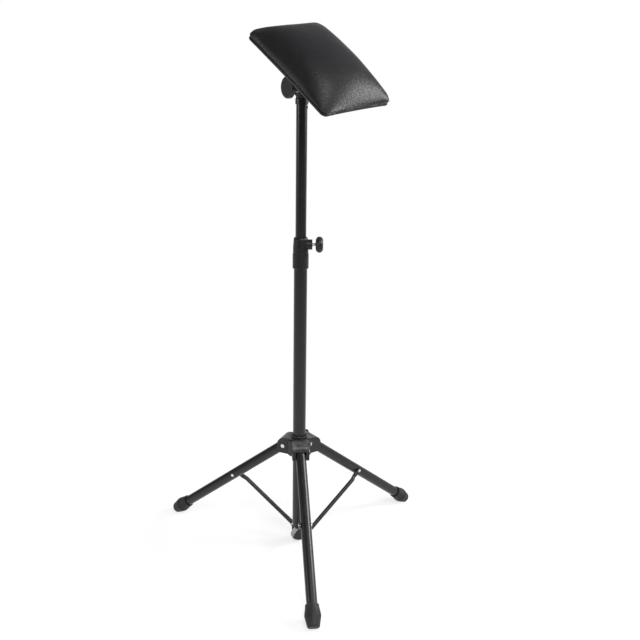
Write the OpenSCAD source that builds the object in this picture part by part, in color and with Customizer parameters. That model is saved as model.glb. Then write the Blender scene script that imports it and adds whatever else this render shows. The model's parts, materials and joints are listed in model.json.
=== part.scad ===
// Tripod arm rest for a tattoo studio: a folding three-legged stand with a
// telescopic mast, a swivelling and tilting head and a padded leatherette rest.
// Azimuths are turned counter-clockwise from the front leg, seen from above.

/* [Mast] */
// Outer diameter of the lower mast tube
outer_tube_d = 25; // [23:0.5:28]
// Wall of every steel tube
tube_wall = 1.5; // [1:0.1:2]
// Height of the lower mast tube's bottom edge above the floor
mast_bottom_h = 9; // [8:0.5:14]
// Height of the lower mast tube's top edge above the floor
outer_tube_top_h = 631; // [560:1:700]
// Outer diameter of the sliding upper tube
inner_tube_d = 20; // [19:0.5:20.5]
// Length of the sliding tube that is inside the lower one, as the stand is set
tube_overlap = 228; // [180:1:280]
// Height of the sliding tube's top edge as the stand is set
inner_tube_top_h = 873; // [800:1:930]

/* [Legs] */
// Outer diameter of a leg tube
leg_tube_d = 20; // [18:0.5:20.5]
// Angle of a spread leg below the horizontal
leg_drop_angle = 38.3; // [36:0.1:42]
// Height of the leg pivots above the floor
pivot_h = 214; // [200:1:230]
// Distance of a leg pivot from the mast's axis
pivot_reach = 28.2; // [27.5:0.1:32]
// Diameter of a leg pivot pin
pivot_pin_d = 6; // [5:0.5:7]
// Largest diameter of a rubber foot
foot_d = 30; // [27:0.5:33]
// Diameter of a foot's upper rim
foot_rim_d = 25; // [23:0.5:27]
// Diameter of a foot at its blunt end
foot_end_d = 23; // [21:0.5:25]
// Length of a foot from its rim to its blunt end
foot_length = 40; // [36:1:46]
// Height of a foot's axis above the floor where it stands
foot_axis_h = 9; // [8:0.5:10]

/* [Stays] */
// Outer diameter of a stay tube
stay_d = 8.5; // [7:0.5:9]
// Height of a stay's lower pin above the floor
stay_pin_h = 25.5; // [23:0.5:34]
// Distance of a stay's lower pin from the mast's axis
stay_pin_reach = 18.7; // [17:0.1:22]
// Distance from a leg's pivot to its stay rivet
stay_rivet_along = 151; // [142:1:162]
// Thickness of a stay's flattened ends
stay_tab_t = 2.4; // [2:0.1:3]
// Diameter of the stay rivets and pins
rivet_d = 4; // [3.5:0.1:5]

/* [Leg hub] */
// Width of a clevis of the leg hub across its cheeks
clevis_w = 33; // [31:0.5:36]
// Distance of a clevis face from the mast's axis
clevis_reach = 41; // [40:0.5:46]
// Height of a clevis from its foot to its roof
clevis_h = 33; // [32:0.5:39]
// Outer diameter of the hub's sleeve
hub_sleeve_d = 32; // [31:0.5:33]
// Height of the hub's lip above the clevis roofs
hub_lip_h = 6.5; // [5:0.5:9]
// Radius of the hub's core between its clevises
hub_core_r = 24; // [20:0.5:26]
// Half span of the lock screw's wings
wing_span_r = 23; // [19:0.5:24]

/* [Height clamp] */
// Outer diameter of the collar's lower sleeve
collar_d = 30; // [29:0.5:33]
// Outer diameter of the collar's top rim
collar_rim_d = 26.4; // [26:0.1:28]
// Height of the whole collar
collar_h = 59; // [54:1:66]
// Diameter of the clamp screw's boss
clamp_boss_d = 19; // [17:0.5:21]
// Diameter of the clamp knob
clamp_knob_d = 30; // [26:0.5:32]
// Thickness of the clamp knob
clamp_knob_t = 14; // [10:0.5:15]
// Azimuth of the clamp knob
clamp_azimuth = 84; // [60:1:110]
// Diameter of the clamp screw
clamp_screw_d = 6; // [5:0.5:7]

/* [Tilting head] */
// Height of the tilt axis above the sliding tube's top edge
tilt_axis_rise = 29; // [27:0.5:36]
// Azimuth towards which the pad slopes down
pad_azimuth = 29; // [0:1:60]
// Tilt of the pad from level, as the stand is set
pad_tilt = 35; // [20:1:45]
// Diameter of the tilt bolt
tilt_bolt_d = 8; // [6:0.5:9]
// Diameter of the tilt knob
tilt_knob_d = 38; // [32:0.5:40]
// Thickness of the tilt knob's disc
tilt_knob_t = 9; // [8:0.5:12]
// Distance of the tilt knob's disc from the mast's axis
tilt_knob_reach = 24; // [22:0.5:28]
// Distance from the tilt axis to the pad board's underside
pad_standoff = 50.5; // [46:0.5:56]
// Thickness of the tilt bracket's sheet
bracket_t = 3; // [2:0.5:3.5]

/* [Pad] */
// Length of the pad
pad_length = 217; // [200:1:240]
// Width of the pad
pad_width = 157; // [140:1:170]
// Height of the pad's wrapped edge
pad_edge_h = 12.5; // [11:0.5:16]
// Height of the cushion's crown above its edge
pad_crown_h = 39.5; // [26:0.5:44]
// Corner radius of the pad
pad_corner_r = 10; // [8:1:20]
// How far the pad's centre lies down-slope from the tilt axis
pad_offset = 24; // [15:1:34]
// Turn of the pad on its bracket
pad_skew = 9.5; // [0:0.5:12]
// Thickness of the pad's board
board_t = 9; // [8:0.5:11]

/* [Hidden] */
$fn = 64;

// Azimuths of the three legs
front_azimuth = 0;
right_azimuth = 120;
left_azimuth = -120;
leg_azimuths = [front_azimuth, right_azimuth, left_azimuth];

// Clearances shared by every fit
running_gap = 0.06;
side_gap = 0.3;
stop_gap = 0.1;
cut_over = 1;

// Radii worked out from the diameters
outer_r = outer_tube_d / 2;
outer_bore_r = outer_r - tube_wall;
inner_r = inner_tube_d / 2;
inner_bore_r = inner_r - tube_wall;
leg_r = leg_tube_d / 2;
leg_bore_r = leg_r - tube_wall;
pin_r = pivot_pin_d / 2;
rivet_r = rivet_d / 2;
stay_r = stay_d / 2;

// Leg and foot, measured along the leg from its pivot
leg_length = (pivot_h - foot_axis_h) / sin(leg_drop_angle);
foot_reach = pivot_reach + leg_length * cos(leg_drop_angle);
mast_y = foot_reach / 4;
leg_stub = leg_r + side_gap + tube_wall;
leg_plug_length = 18;
foot_belly_back = 13;
foot_tip = 7;
foot_rim_back = foot_length - foot_tip;
foot_end_round = 3.5;
foot_rib_w = 1.2;
foot_rib_depth = 0.6;
foot_rib_pitch = 3;
foot_ribs = 3;

// Rivet and pin heads
pin_head_r = 3.9;
pin_head_t = 1.4;
rivet_head_r = 3.1;
rivet_head_t = 1.2;

// Lower bracket, measured from the stay pins' height
strap_t = 1.4;
strap_r = outer_r + strap_t;
strap_rise = 8;
strap_fall = 6;
ear_t = 1.2;
ear_r = 5.5;
ear_root = 1.5;
ear_inset = 0.5;

// Stay, in its own line from the lower pin to the rivet
rivet_x = pivot_reach + stay_rivet_along * cos(leg_drop_angle);
rivet_z = pivot_h - stay_rivet_along * sin(leg_drop_angle);
stay_run = rivet_x - stay_pin_reach;
stay_climb = rivet_z - stay_pin_h;
stay_length = sqrt(stay_run * stay_run + stay_climb * stay_climb);
stay_rise_angle = atan2(stay_climb, stay_run);
stay_tab_w = 9.5;
stay_tab_x = 16;
stay_neck_x = 24;
swage_step = 0.2;
stay_low_y = -(outer_r + ear_t + stop_gap + stay_tab_t / 2);
stay_high_y = -(leg_r + side_gap + stay_tab_t / 2);
stay_tube_y = -(leg_r + side_gap + stay_r + side_gap);

// Leg hub
clevis_drop = 15.5;
hub_bottom_h = pivot_h - clevis_drop;
hub_top_h = hub_bottom_h + clevis_h;
slot_w = leg_tube_d + 2 * side_gap;
slot_root = pivot_reach - leg_stub - stop_gap;
slot_roof_h = pivot_h + leg_stub + side_gap;
roof_lip = 7;
roof_round = 16;
cheek_round = 4;
lip_r = hub_sleeve_d / 2;
neck_depth = 2.2;
neck_r = lip_r - neck_depth;
neck_h = 3;
sleeve_proud = 0.8;
lip_recess = 1.6;
clevis_root = clevis_w / 4;
lock_boss_r = 7;
lock_boss_reach = 25;
lock_drop = 8;
lock_h = hub_top_h - lock_drop;
lock_screw_r = 3;
lock_nut_r = 5.6;
lock_nut_t = 5;
wing_hub_r = 5.5;
wing_start = 33.5;
wing_t = 4.5;
wing_end = wing_start + wing_t;
wing_tip_r = 5;
wing_turn = -8;
wing_web_share = 1.3;
core_drop = 3;
pin_blind_depth = 4;

// Hub set screw, in the crease between the front and the right clevis
set_screw_azimuth = 60;
set_screw_rise = 8;
set_screw_r = 2;
set_screw_depth = 6;
set_screw_head_r = 3.2;
set_screw_head_t = 2.4;

// Height clamp collar
collar_over = 3;
collar_top_h = outer_tube_top_h + collar_over;
collar_bottom_h = collar_top_h - collar_h;
collar_sleeve_h = 30;
collar_split_h = collar_bottom_h + collar_sleeve_h;
collar_gap = 2.4;
collar_step = 0.6;
collar_upper_r = collar_d / 2 - collar_step;
collar_chamfer = 2;
seal_depth = 1.4;
seal_r = collar_d / 2 - seal_depth;
boss_reach = 21.5;
clamp_drop = 13;
clamp_h = collar_top_h - clamp_drop;
clamp_r = clamp_screw_d / 2;
liner_h = 40;
clamp_nut_r = 5.6;
clamp_nut_t = 5;
clamp_nut_cover = 1;
clamp_nut_start = boss_reach - clamp_nut_t - clamp_nut_cover;
knob_start = 27.5;
knob_end = knob_start + clamp_knob_t;
knob_rim_steps = 12;
flutes = 10;
flute_r = 2.2;
flute_depth = 1.2;

// Sliding tube
inner_tube_bottom_h = outer_tube_top_h - tube_overlap;
stop_flange_t = 4;
stop_plug_h = 16;
bush_h = 30;
ring_t = 2.5;

// Tilting head, measured from the tilt axis
tilt_axis_h = inner_tube_top_h + tilt_axis_rise;
head_proud = 1.7;
head_r = inner_r + head_proud;
head_plug_h = 26;
tongue_t = 12;
ear_round_r = 16;
head_shoulder_gap = 3;
head_shoulder = ear_round_r + head_shoulder_gap;
ear_y = tongue_t / 2 + stop_gap;
ear_outer_y = ear_y + bracket_t;
head_screw_r = 1.8;
head_screw_drop = 5;
head_screw_head_r = 2.7;
head_screw_head_t = 0.8;
tilt_bolt_r = tilt_bolt_d / 2;
washer_r = 9;
washer_t = 1.5;
tilt_nut_r = 7.5;
tilt_nut_t = 6.5;
knob_neck_r = 7;
knob_rim_share = 0.25;
plate_l = 84;
plate_w = 58;
plate_round = 6;
pad_screw_r = 2.5;
pad_screw_head_r = 4.5;
pad_screw_head_t = 1.8;
pad_screw_in_x = 34;
pad_screw_in_y = 21;
pad_screw_grip = 7;
board_inset = 5;
board_proud = 1.5;

// Cushion form
side_steps = 8;
crown_rings = 9;
crown_power = 2.3;
edge_power = 8;
draw_in = 1.8;
wrap_round = 1.5;
crease_w = 2.4;
crease_depth = 1;
crease_drop = 4;
crease_h = pad_edge_h - crease_drop;

// Places
module on_mast() translate([0, mast_y, 0]) children();

module at_azimuth(turn) on_mast() rotate([0, 0, turn - 90]) children();

module along_leg(turn)
    at_azimuth(turn)
        translate([pivot_reach, 0, pivot_h]) rotate([0, leg_drop_angle, 0]) children();

module along_stay(turn)
    at_azimuth(turn)
        translate([stay_pin_reach, 0, stay_pin_h])
            rotate([0, -stay_rise_angle, 0]) children();

// The tilt axis runs along Y here, and the pad slopes down towards +X
module on_tilt()
    at_azimuth(pad_azimuth)
        translate([0, 0, tilt_axis_h]) rotate([0, pad_tilt, 0]) children();

module on_board()
    on_tilt()
        translate([pad_offset, 0, pad_standoff]) rotate([0, 0, pad_skew]) children();

// Round bars along the three axes
module bar_x(r, start, end)
    translate([start, 0, 0]) rotate([0, 90, 0]) cylinder(r = r, h = end - start);

module bar_y(r, start, end)
    translate([0, start, 0]) rotate([-90, 0, 0]) cylinder(r = r, h = end - start);

module bar_z(r, start, end) translate([0, 0, start]) cylinder(r = r, h = end - start);

module ring_z(outside, inside, start, end)
    difference() {
        bar_z(outside, start, end);
        bar_z(inside, start - cut_over, end + cut_over);
    }

function corner(centre, r, from, to, steps = 6) =
    [for (i = [0 : steps])
        let (a = from + (to - from) * i / steps)
            [centre[0] + r * cos(a), centre[1] + r * sin(a)]];

// Mast
module outer_tube() color("#1b1b1d") on_mast() difference() {
    ring_z(outer_r, outer_bore_r, mast_bottom_h, outer_tube_top_h);
    rotate([0, 0, clamp_azimuth - 90]) translate([0, 0, clamp_h])
        bar_x(clamp_r + side_gap, 0, outer_r + cut_over);
}

module mast_end_plug() color("#161616") on_mast() union() {
    bar_z(outer_r, mast_bottom_h - tube_wall, mast_bottom_h);
    bar_z(outer_bore_r, mast_bottom_h, mast_bottom_h + outer_r);
}

module ear_profile() polygon(concat(
    [[ear_root, strap_rise - ear_inset]],
    corner([stay_pin_reach, 0], ear_r, 70, -80, 12),
    [[ear_root, ear_inset - strap_fall]]
));

module lower_bracket() color("#1e1e1f") difference() {
    union() {
        on_mast() bar_z(strap_r, stay_pin_h - strap_fall, stay_pin_h + strap_rise);
        for (turn = leg_azimuths)
            at_azimuth(turn) translate([0, -outer_r, stay_pin_h])
                rotate([90, 0, 0]) linear_extrude(height = ear_t) ear_profile();
    }
    on_mast() bar_z(outer_r, 0, stay_pin_h + 2 * strap_rise);
    for (turn = leg_azimuths)
        at_azimuth(turn) translate([stay_pin_reach, 0, stay_pin_h])
            bar_y(rivet_r, -strap_r - cut_over, -outer_r + cut_over);
}

module bracket_pins() color("#c9c9c6")
    for (turn = leg_azimuths)
        at_azimuth(turn) translate([stay_pin_reach, 0, stay_pin_h]) union() {
            bar_y(rivet_r, stay_low_y - stay_tab_t / 2 - stop_gap, -outer_r);
            bar_y(rivet_head_r, stay_low_y - stay_tab_t / 2 - stop_gap - rivet_head_t,
                stay_low_y - stay_tab_t / 2 - stop_gap);
            bar_y(rivet_head_r, -outer_r, rivet_head_t - outer_r);
        }

// Height clamp
module collar_upper_profile() polygon([
    [0, collar_split_h + collar_gap / 2],
    [collar_upper_r, collar_split_h + collar_gap / 2],
    [collar_upper_r, clamp_h - clamp_boss_d / 3],
    [collar_rim_d / 2, collar_top_h - collar_chamfer],
    [collar_rim_d / 2 - collar_chamfer / 2, collar_top_h],
    [0, collar_top_h]
]);

module clamp_collar() color("#1a1a1a") on_mast() difference() {
    union() {
        rotate_extrude() collar_upper_profile();
        rotate([0, 0, clamp_azimuth - 90]) translate([0, 0, clamp_h])
            bar_x(clamp_boss_d / 2, 0, boss_reach);
    }
    bar_z(outer_r, 0, outer_tube_top_h);
    bar_z(inner_r + side_gap, outer_tube_top_h - cut_over, collar_top_h + cut_over);
    rotate([0, 0, clamp_azimuth - 90]) translate([0, 0, clamp_h]) {
        bar_x(clamp_r + side_gap, 0, boss_reach + cut_over);
        rotate([0, 90, 0]) translate([0, 0, clamp_nut_start])
            cylinder(r = clamp_nut_r, h = clamp_nut_t, $fn = 6);
    }
}

module collar_sleeve() color("#1d1d1d") on_mast() difference() {
    rotate_extrude() polygon([
        [0, collar_bottom_h],
        [collar_d / 2 - collar_chamfer, collar_bottom_h],
        [collar_d / 2, collar_bottom_h + collar_chamfer],
        [collar_d / 2, collar_split_h - collar_gap / 2],
        [0, collar_split_h - collar_gap / 2]
    ]);
    bar_z(outer_r, 0, collar_top_h);
}

module collar_seal() color("#8d8b86") on_mast()
    ring_z(seal_r, outer_r, collar_split_h - collar_gap / 2, collar_split_h + collar_gap / 2);

module collar_liner() color("#d8d6cf") on_mast() difference() {
    ring_z(outer_bore_r, inner_r + running_gap, outer_tube_top_h - liner_h, outer_tube_top_h);
    rotate([0, 0, clamp_azimuth - 90]) translate([0, 0, clamp_h])
        bar_x(clamp_r + side_gap, 0, outer_r);
}

module clamp_nut() color("#b9b9b5") on_mast()
    rotate([0, 0, clamp_azimuth - 90]) translate([0, 0, clamp_h]) difference() {
        rotate([0, 90, 0]) translate([0, 0, clamp_nut_start])
            cylinder(r = clamp_nut_r, h = clamp_nut_t, $fn = 6);
        bar_x(clamp_r + running_gap, 0, boss_reach + cut_over);
    }

module clamp_knob() color("#151515") on_mast()
    rotate([0, 0, clamp_azimuth - 90]) translate([0, 0, clamp_h]) difference() {
        rotate([0, 90, 0]) rotate_extrude() polygon(concat(
            [[0, knob_start]],
            corner([clamp_knob_d / 2 - clamp_knob_t / 2, (knob_start + knob_end) / 2],
                clamp_knob_t / 2, -90, 90, knob_rim_steps),
            [[0, knob_end]]
        ));
        for (i = [0 : flutes - 1])
            rotate([360 * i / flutes, 0, 0])
                translate([0, 0, clamp_knob_d / 2 + flute_r - flute_depth])
                    bar_x(flute_r, knob_start - cut_over, knob_end + cut_over);
        bar_x(clamp_r, 0, knob_end - clamp_knob_t / 3);
    }

module clamp_screw() color("#c2c2be") on_mast()
    rotate([0, 0, clamp_azimuth - 90]) translate([0, 0, clamp_h])
        bar_x(clamp_r, inner_r + stop_gap, knob_end - clamp_knob_t / 3);

// Leg hub
function roof_line_h(x) =
    pivot_h + (leg_r + stop_gap) / cos(leg_drop_angle) - (x - pivot_reach) * tan(leg_drop_angle);

module clevis_profile() polygon(concat(
    [[clevis_root, hub_bottom_h]],
    corner([clevis_reach - cheek_round, hub_bottom_h + cheek_round], cheek_round, -90, 0),
    corner([clevis_reach - roof_round, hub_top_h - roof_round], roof_round, 0, 90),
    [[clevis_root, hub_top_h]]
));

module slot_profile() polygon([
    [slot_root, hub_bottom_h - cut_over],
    [slot_root, slot_roof_h],
    [clevis_reach - roof_lip - stop_gap, slot_roof_h],
    [clevis_reach - roof_lip, roof_line_h(clevis_reach - roof_lip)],
    [clevis_reach + roof_lip, roof_line_h(clevis_reach + roof_lip)],
    [clevis_reach + roof_lip, hub_bottom_h - cut_over]
]);

module hub_sleeve_profile() polygon([
    [outer_r / 2, hub_bottom_h - sleeve_proud],
    [lip_r, hub_bottom_h - sleeve_proud],
    [lip_r, hub_top_h + sleeve_proud],
    [neck_r, hub_top_h + sleeve_proud],
    [neck_r, hub_top_h + sleeve_proud + neck_h],
    [lip_r, hub_top_h + sleeve_proud + neck_h],
    [lip_r, hub_top_h + hub_lip_h],
    [outer_r + lip_recess, hub_top_h + hub_lip_h],
    [outer_r, hub_top_h + hub_lip_h - lip_recess],
    [outer_r / 2, hub_top_h + hub_lip_h - lip_recess]
]);

module leg_hub() color("#2b2b2c") difference() {
    union() {
        on_mast() rotate_extrude() hub_sleeve_profile();
        for (turn = leg_azimuths)
            at_azimuth(turn) rotate([90, 0, 0])
                linear_extrude(height = clevis_w, center = true) clevis_profile();
        on_mast() bar_z(hub_core_r, hub_bottom_h, hub_top_h - core_drop);
        at_azimuth(180) translate([0, 0, lock_h]) bar_x(lock_boss_r, 0, lock_boss_reach);
    }
    on_mast() bar_z(outer_r + running_gap, 0, 2 * hub_top_h);
    set_screw_place() bar_x(set_screw_r, hub_core_r - set_screw_depth, hub_core_r + cut_over);
    for (turn = leg_azimuths) {
        at_azimuth(turn) rotate([90, 0, 0])
            linear_extrude(height = slot_w, center = true) slot_profile();
        at_azimuth(turn) translate([pivot_reach, 0, pivot_h]) {
            bar_y(pin_r, -slot_w / 2 - pin_blind_depth, clevis_w);
            bar_y(leg_stub + side_gap, -slot_w / 2, slot_w / 2);
        }
    }
    at_azimuth(180) translate([0, 0, lock_h]) {
        bar_x(lock_screw_r + side_gap, 0, lock_boss_reach + cut_over);
        rotate([0, 90, 0]) translate([0, 0, lock_boss_reach - lock_nut_t])
            cylinder(r = lock_nut_r, h = lock_nut_t + cut_over, $fn = 6);
    }
}

module leg_pivot_pins() color("#cfcfcb")
    for (turn = leg_azimuths)
        at_azimuth(turn) translate([pivot_reach, 0, pivot_h]) union() {
            bar_y(pin_r, -slot_w / 2 - pin_blind_depth, clevis_w / 2);
            bar_y(pin_head_r, clevis_w / 2, clevis_w / 2 + pin_head_t);
        }

module set_screw_place()
    at_azimuth(set_screw_azimuth) translate([0, 0, pivot_h + set_screw_rise]) children();

module hub_set_screw() color("#cfcfcb") set_screw_place() union() {
    bar_x(set_screw_r, hub_core_r - set_screw_depth, hub_core_r);
    bar_x(set_screw_head_r, hub_core_r, hub_core_r + set_screw_head_t);
}

module lock_nut() color("#b9b9b5") at_azimuth(180) translate([0, 0, lock_h]) difference() {
    rotate([0, 90, 0]) translate([0, 0, lock_boss_reach - lock_nut_t])
        cylinder(r = lock_nut_r, h = lock_nut_t, $fn = 6);
    bar_x(lock_screw_r + running_gap, 0, lock_boss_reach + cut_over);
}

module lock_wing() color("#1a1a1a")
    at_azimuth(180) translate([0, 0, lock_h]) rotate([wing_turn, 0, 0]) difference() {
        union() {
            bar_x(wing_hub_r, lock_boss_reach + side_gap, wing_end);
            translate([wing_start, 0, 0]) rotate([90, 0, 90])
                linear_extrude(height = wing_t) {
                    for (side = [-1, 1])
                        translate([side * (wing_span_r - wing_tip_r), 0])
                            circle(r = wing_tip_r);
                    square([2 * (wing_span_r - wing_tip_r), wing_tip_r * wing_web_share],
                        center = true);
                }
        }
        bar_x(lock_screw_r, 0, wing_start);
    }

module lock_screw() color("#c2c2be") at_azimuth(180) translate([0, 0, lock_h])
    bar_x(lock_screw_r, outer_r + stop_gap, wing_start);

// Legs
module leg_bar(r, end) union() {
    bar_x(r, 0, end);
    intersection() {
        bar_x(r, -leg_stub, 0);
        bar_y(leg_stub, -leg_r, leg_r);
    }
}

module leg_tube(turn) color("#1b1b1d") along_leg(turn) difference() {
    leg_bar(leg_r, leg_length - foot_belly_back);
    bar_x(leg_bore_r, -leg_stub - cut_over, leg_length);
    bar_y(pin_r + running_gap, -leg_r - cut_over, leg_r + cut_over);
    translate([stay_rivet_along, 0, 0]) bar_y(rivet_r, -leg_tube_d, leg_tube_d);
}

module leg_plug(turn) color("#111111") along_leg(turn) difference() {
    leg_bar(leg_bore_r, leg_plug_length);
    bar_y(pin_r + running_gap, -leg_r, leg_r);
}

function foot_side(t) =
    foot_rim_d / 2 + (foot_d - foot_rim_d) / 2 * (1 - cos(180 * t)) / 2;

module foot_profile() polygon(concat(
    [[0, -foot_rim_back]],
    [for (i = [0 : 8]) [foot_side(i / 8),
        -foot_rim_back + (foot_rim_back - foot_belly_back) * i / 8]],
    corner([foot_end_d / 2 - foot_end_round, foot_tip - foot_end_round], foot_end_round, 0, 90),
    [[0, foot_tip]]
));

module foot(turn) color("#171717") difference() {
    along_leg(turn) difference() {
        translate([leg_length, 0, 0]) rotate([0, 90, 0]) rotate_extrude() foot_profile();
        bar_x(leg_r, 0, leg_length - foot_belly_back);
        for (i = [0 : foot_ribs - 1])
            translate([leg_length - foot_belly_back - foot_rib_pitch * i, 0, 0])
                rotate([0, 90, 0]) difference() {
                    cylinder(r = foot_d, h = foot_rib_w);
                    cylinder(r = foot_d / 2 - foot_rib_depth, h = foot_rib_w);
                }
    }
    on_mast() translate([-2 * foot_reach, -2 * foot_reach, -foot_d])
        cube([4 * foot_reach, 4 * foot_reach, foot_d]);
}

module stay_rivet(turn) color("#cfcfcb") along_leg(turn)
    translate([stay_rivet_along, 0, 0]) union() {
        bar_y(rivet_r, -leg_r, leg_r);
        bar_y(rivet_head_r, leg_r, leg_r + rivet_head_t);
    }

// Stays
module stay_tab(side) union() {
    bar_y(stay_tab_w / 2, -stay_tab_t / 2, stay_tab_t / 2);
    translate([side > 0 ? 0 : -stay_tab_x, -stay_tab_t / 2, -stay_tab_w / 2])
        cube([stay_tab_x, stay_tab_t, stay_tab_w]);
}

module stay_end(side, tab_y, tube_y) union() {
    translate([0, tab_y, 0]) stay_tab(side);
    hull() {
        translate([side * (stay_tab_x - swage_step), tab_y, 0])
            cube([swage_step, stay_tab_t - swage_step, stay_tab_w - swage_step], center = true);
        translate([side * stay_neck_x, tube_y, 0]) rotate([0, 90, 0])
            cylinder(r = stay_r + swage_step, h = swage_step, center = true, $fn = 32);
    }
}

module stay(turn) color("#1b1b1d") along_stay(turn) difference() {
    union() {
        stay_end(1, stay_low_y, stay_tube_y);
        translate([stay_length, 0, 0]) stay_end(-1, stay_high_y, stay_tube_y);
        translate([0, stay_tube_y, 0]) bar_x(stay_r, stay_neck_x, stay_length - stay_neck_x);
    }
    bar_y(rivet_r + running_gap, -clevis_w, clevis_w);
    translate([stay_length, 0, 0]) bar_y(rivet_r, -clevis_w, clevis_w);
}

module stay_cap(turn) color("#cfcfcb") along_stay(turn)
    translate([stay_length, stay_high_y, 0]) union() {
        bar_y(rivet_r, -stay_tab_t / 2, stay_tab_t / 2);
        bar_y(rivet_head_r, -stay_tab_t / 2 - rivet_head_t, -stay_tab_t / 2);
    }

// Sliding tube and its guide
module guide_bush() color("#d8d6cf") on_mast()
    ring_z(outer_bore_r - running_gap, inner_r + running_gap,
        inner_tube_bottom_h + stop_gap, inner_tube_bottom_h + bush_h);

module inner_tube_stop() color("#161616") on_mast() union() {
    bar_z(outer_bore_r - side_gap, inner_tube_bottom_h - stop_flange_t, inner_tube_bottom_h);
    bar_z(inner_bore_r, inner_tube_bottom_h, inner_tube_bottom_h + stop_plug_h);
}

module bush_ring() color("#9a9a96") on_mast()
    ring_z(outer_bore_r - side_gap, inner_r, inner_tube_bottom_h + bush_h + stop_gap,
        inner_tube_bottom_h + bush_h + stop_gap + ring_t);

module inner_tube() color("#1b1b1d") on_mast() difference() {
    ring_z(inner_r, inner_bore_r, inner_tube_bottom_h, inner_tube_top_h);
    head_screw_bars(inner_r + cut_over);
}

module head_screw_bars(reach)
    rotate([0, 0, pad_azimuth - 90]) translate([0, 0, inner_tube_top_h - head_screw_drop])
        for (turn = [-45, 45])
            rotate([0, 0, turn]) bar_x(head_screw_r, inner_bore_r / 2, reach);

module head_base() color("#1c1c1c") on_mast() difference() {
    union() {
        bar_z(inner_bore_r, inner_tube_top_h - head_plug_h, inner_tube_top_h);
        bar_z(head_r, inner_tube_top_h, tilt_axis_h - head_shoulder);
        rotate([0, 0, pad_azimuth - 90]) {
            intersection() {
                bar_z(head_r, inner_tube_top_h, tilt_axis_h);
                translate([-head_r, -tongue_t / 2, inner_tube_top_h])
                    cube([2 * head_r, tongue_t, tilt_axis_rise]);
            }
            translate([0, 0, tilt_axis_h]) bar_y(head_r, -tongue_t / 2, tongue_t / 2);
        }
    }
    head_screw_bars(inner_r);
    rotate([0, 0, pad_azimuth - 90]) translate([0, 0, tilt_axis_h])
        bar_y(tilt_bolt_r + running_gap, -tongue_t, tongue_t);
}

module head_screws() color("#2a2a2a") on_mast()
    rotate([0, 0, pad_azimuth - 90]) translate([0, 0, inner_tube_top_h - head_screw_drop])
        for (turn = [-45, 45])
            rotate([0, 0, turn]) union() {
                bar_x(head_screw_r, inner_bore_r / 2, inner_r);
                bar_x(head_screw_head_r, inner_r, inner_r + head_screw_head_t);
            }

// Tilting head and pad
module ear_plate(side)
    translate([0, side > 0 ? ear_y : -ear_outer_y, 0]) rotate([-90, 0, 0])
        linear_extrude(height = bracket_t) {
            circle(r = ear_round_r);
            translate([-ear_round_r, -pad_standoff + bracket_t / 2])
                square([2 * ear_round_r, pad_standoff - bracket_t / 2]);
        }

module tilt_bracket() color("#1d1d1d") on_tilt() difference() {
    union() {
        ear_plate(1);
        ear_plate(-1);
        translate([pad_offset - plate_l / 2, -plate_w / 2, pad_standoff - bracket_t])
            linear_extrude(height = bracket_t) {
                translate([plate_round, 0]) square([plate_l - 2 * plate_round, plate_w]);
                translate([0, plate_round]) square([plate_l, plate_w - 2 * plate_round]);
                for (x = [plate_round, plate_l - plate_round])
                    for (y = [plate_round, plate_w - plate_round])
                        translate([x, y]) circle(r = plate_round);
            }
    }
    bar_y(tilt_bolt_r + running_gap, -clevis_w, clevis_w);
    pad_screw_places() bar_z(pad_screw_r, -2 * bracket_t, cut_over);
}

module pad_screw_places()
    for (x = [-pad_screw_in_x, pad_screw_in_x])
        for (y = [-pad_screw_in_y, pad_screw_in_y])
            translate([pad_offset + x, y, pad_standoff]) children();

module tilt_nut() color("#b9b9b5") on_tilt() difference() {
    rotate([-90, 0, 0]) translate([0, 0, ear_outer_y + washer_t])
        cylinder(r = tilt_nut_r, h = tilt_nut_t, $fn = 6);
    bar_y(tilt_bolt_r + running_gap, 0, clevis_w);
}

module tilt_washers() color("#b9b9b5") on_tilt() difference() {
    union() {
        bar_y(washer_r, ear_outer_y, ear_outer_y + washer_t);
        bar_y(washer_r, -ear_outer_y - washer_t, -ear_outer_y);
    }
    bar_y(tilt_bolt_r + running_gap, -clevis_w, clevis_w);
}

module tilt_knob() color("#141414") on_tilt() difference() {
    rotate([90, 0, 0]) rotate_extrude() polygon(concat(
        [[0, ear_outer_y + washer_t + stop_gap],
         [knob_neck_r, ear_outer_y + washer_t + stop_gap],
         [knob_neck_r, tilt_knob_reach],
         [tilt_knob_d / 2 - collar_chamfer, tilt_knob_reach],
         [tilt_knob_d / 2, tilt_knob_reach + collar_chamfer]],
        corner([tilt_knob_d / 2 - tilt_knob_t * knob_rim_share,
                tilt_knob_reach + tilt_knob_t * (1 - knob_rim_share)],
            tilt_knob_t * knob_rim_share, 0, 90),
        [[0, tilt_knob_reach + tilt_knob_t]]
    ));
    bar_y(tilt_bolt_r, -tilt_knob_reach - tilt_knob_t / 2, 0);
}

module tilt_bolt() color("#c2c2be") on_tilt()
    bar_y(tilt_bolt_r, -tilt_knob_reach - tilt_knob_t / 2,
        ear_outer_y + washer_t + tilt_nut_t + washer_t);

module rounded_block(length, width, r, low, high)
    translate([0, 0, low]) linear_extrude(height = high - low) {
        square([length - 2 * r, width], center = true);
        square([length, width - 2 * r], center = true);
        for (x = [-1, 1])
            for (y = [-1, 1])
                translate([x * (length / 2 - r), y * (width / 2 - r)]) circle(r = r);
    }

module pad_board() color("#3a3026") difference() {
    on_board() rounded_block(pad_length - 2 * board_inset, pad_width - 2 * board_inset,
        pad_corner_r - board_inset, 0, board_t);
    on_tilt() pad_screw_places() bar_z(pad_screw_r, -cut_over, pad_screw_grip);
}

module pad_screws() color("#8f8f8b") on_tilt() pad_screw_places() union() {
    bar_z(pad_screw_r, -bracket_t, pad_screw_grip);
    bar_z(pad_screw_head_r, -bracket_t - pad_screw_head_t, -bracket_t);
}

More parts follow.
